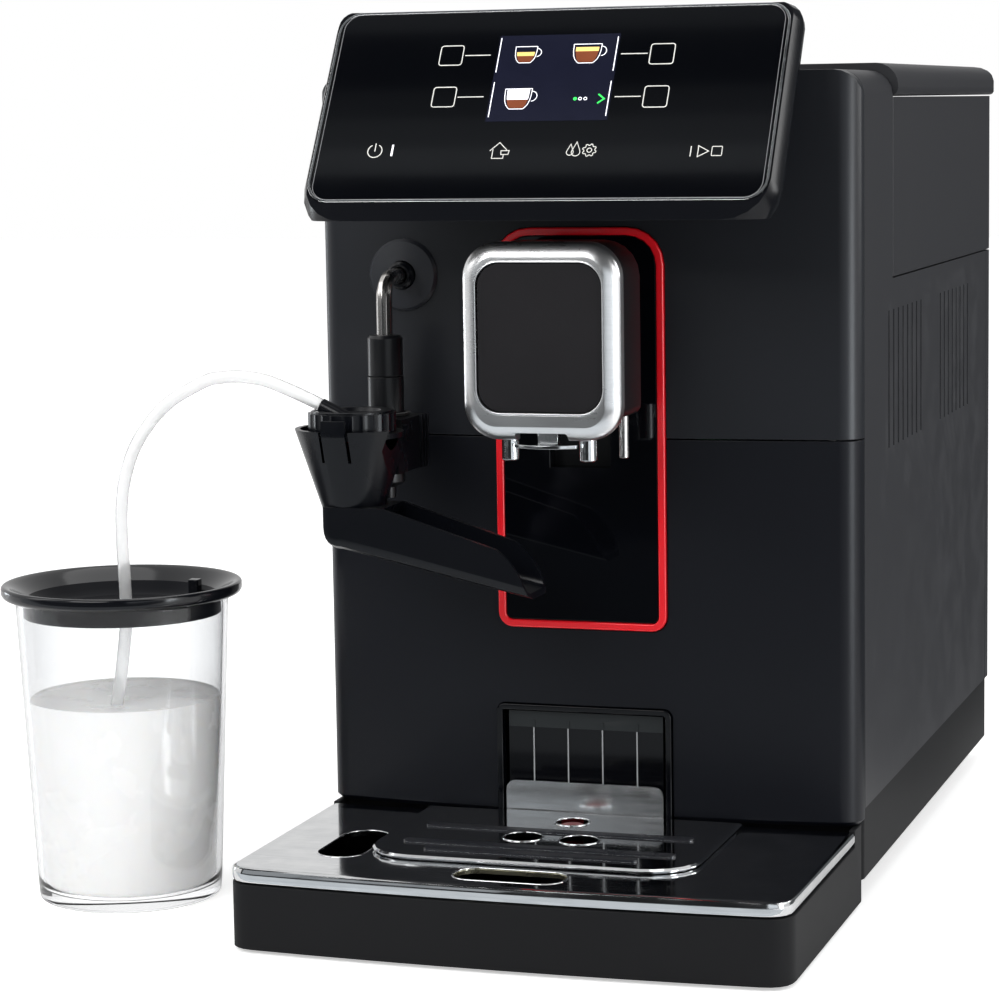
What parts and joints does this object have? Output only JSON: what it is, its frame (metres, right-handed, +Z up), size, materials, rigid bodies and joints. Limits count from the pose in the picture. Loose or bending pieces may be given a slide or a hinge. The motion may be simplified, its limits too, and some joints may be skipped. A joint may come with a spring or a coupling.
{
  "type": "bean to cup coffee machine with milk glass",
  "caption": "Bean to cup coffee machine with a sliding spout, a steam wand with a milk frother, a pull-out drip tray and a lidded milk glass fed through a hose.",
  "frame": {"origin": "middle of the base of the machine and its glass together, on the counter, without the free hose", "axes": "+Y from the tray at the front to the back, +X to the right seen from the front, +Z up"},
  "size_m": [0.3482, 0.442, 0.3574],
  "materials": {
    "body_black": "fine satin black",
    "trim_black": "soft black",
    "gloss_black": "polished black",
    "red": "polished red",
    "polished": "mirror polished",
    "steel": "satin",
    "rubber": "matt",
    "smoke": "smoked",
    "board": "solder mask green",
    "ivory": "satin ivory",
    "clear": "clear",
    "milk": "milk white, stands in for the liquid",
    "hose": "translucent white silicone"
  },
  "bodies": {
    "machine": {"base_plinth": "body_black", "foot_front_left": "rubber", "foot_front_right": "rubber", "foot_rear_left": "rubber", "foot_rear_right": "rubber", "outer_casing": "body_black", "front_cover_lower": "body_black", "front_cover_upper": "body_black", "red_ring": "red", "spout_track": "gloss_black", "opening_frame": "trim_black", "rear_cover": "body_black", "power_inlet": "trim_black", "switch_housing": "trim_black", "control_housing": "trim_black", "control_bezel": "polished", "control_glass": "gloss_black", "display_module": "gloss_black", "wand_escutcheon": "trim_black", "inner_frame": "body_black", "grinder": "trim_black", "brew_group": "ivory", "boiler": "steel", "pump": "steel", "circuit_board": "board", "bean_hopper": "smoke", "preground_chute": "trim_black", "milk_glass": "clear", "milk": "milk", "milk_hose": "hose"},
    "wand": {"steam_joint": "trim_black", "steam_pipe": "steel", "wand_grip_sleeve": "trim_black", "wand_tip_sleeve": "trim_black", "frother_body": "trim_black", "frother_cap": "trim_black", "frother_socket": "rubber"},
    "spout": {"spout_housing": "trim_black", "spout_frame": "polished", "spout_insert": "trim_black", "nozzle_left": "polished", "nozzle_right": "polished", "spout_lip": "polished", "hot_water_tube": "steel"},
    "tray": {"drip_tray": "body_black", "tray_plate": "polished", "grounds_container": "trim_black"},
    "grid": {"cup_plate": "polished"},
    "float": {"tray_float": "red"},
    "tank": {"water_tank": "smoke", "tank_valve": "rubber"},
    "tank_cover": {"tank_lid": "body_black"},
    "bean_cover": {"hopper_lid": "smoke"},
    "adjuster": {"grinder_adjuster": "red"},
    "preground_cover": {"preground_lid": "body_black"},
    "door": {"service_door": "body_black"},
    "switch": {"power_switch": "trim_black"},
    "glass_cover": {"glass_lid": "gloss_black"}
  },
  "joints": [
    {"name": "wand_swing", "type": "hinge", "parent": "machine", "child": "wand", "pos_m": [-0.0143, -0.09765, 0.2528], "axis": [0, 1, 0], "range_deg": [0, 30], "deforming": ["milk_hose"]},
    {"name": "spout_slide", "type": "slide", "parent": "machine", "child": "spout", "axis": [0, 0, -1], "range_m": [0, 0.028]},
    {"name": "tray_slide", "type": "slide", "parent": "machine", "child": "tray", "axis": [0, -1, 0], "range_m": [0, 0.2]},
    {"name": "cup_plate_lift", "type": "slide", "parent": "tray", "child": "grid", "axis": [0, 0, 1], "range_m": [0, 0.025]},
    {"name": "float_rise", "type": "slide", "parent": "tray", "child": "float", "axis": [0, 0, 1], "range_m": [0, 0.008]},
    {"name": "tank_lift", "type": "slide", "parent": "machine", "child": "tank", "axis": [0, 0, 1], "range_m": [0, 0.09]},
    {"name": "tank_lid_lift", "type": "slide", "parent": "tank", "child": "tank_cover", "axis": [0, 0, 1], "range_m": [0, 0.04]},
    {"name": "hopper_lid_lift", "type": "slide", "parent": "machine", "child": "bean_cover", "axis": [0, 0, 1], "range_m": [0, 0.05]},
    {"name": "grinder_adjuster_turn", "type": "hinge", "parent": "machine", "child": "adjuster", "pos_m": [-0.0181, 0.04835, 0.296], "axis": [0, 0, 1], "range_deg": [0, 270]},
    {"name": "preground_lid_hinge", "type": "hinge", "parent": "machine", "child": "preground_cover", "pos_m": [0.0199, 0.01275, 0.3336], "axis": [-1, 0, 0], "range_deg": [0, 100]},
    {"name": "service_door_hinge", "type": "hinge", "parent": "machine", "child": "door", "pos_m": [-0.0506, 0.15585, 0.145], "axis": [0, 0, -1], "range_deg": [0, 95]},
    {"name": "power_switch_rock", "type": "hinge", "parent": "machine", "child": "switch", "pos_m": [0.0259, 0.21235, 0.075], "axis": [-1, 0, 0], "range_deg": [0, 16]},
    {"name": "glass_lid_lift", "type": "slide", "parent": "machine", "child": "glass_cover", "axis": [0, 0, 1], "range_m": [0, 0.012]}
  ]
}
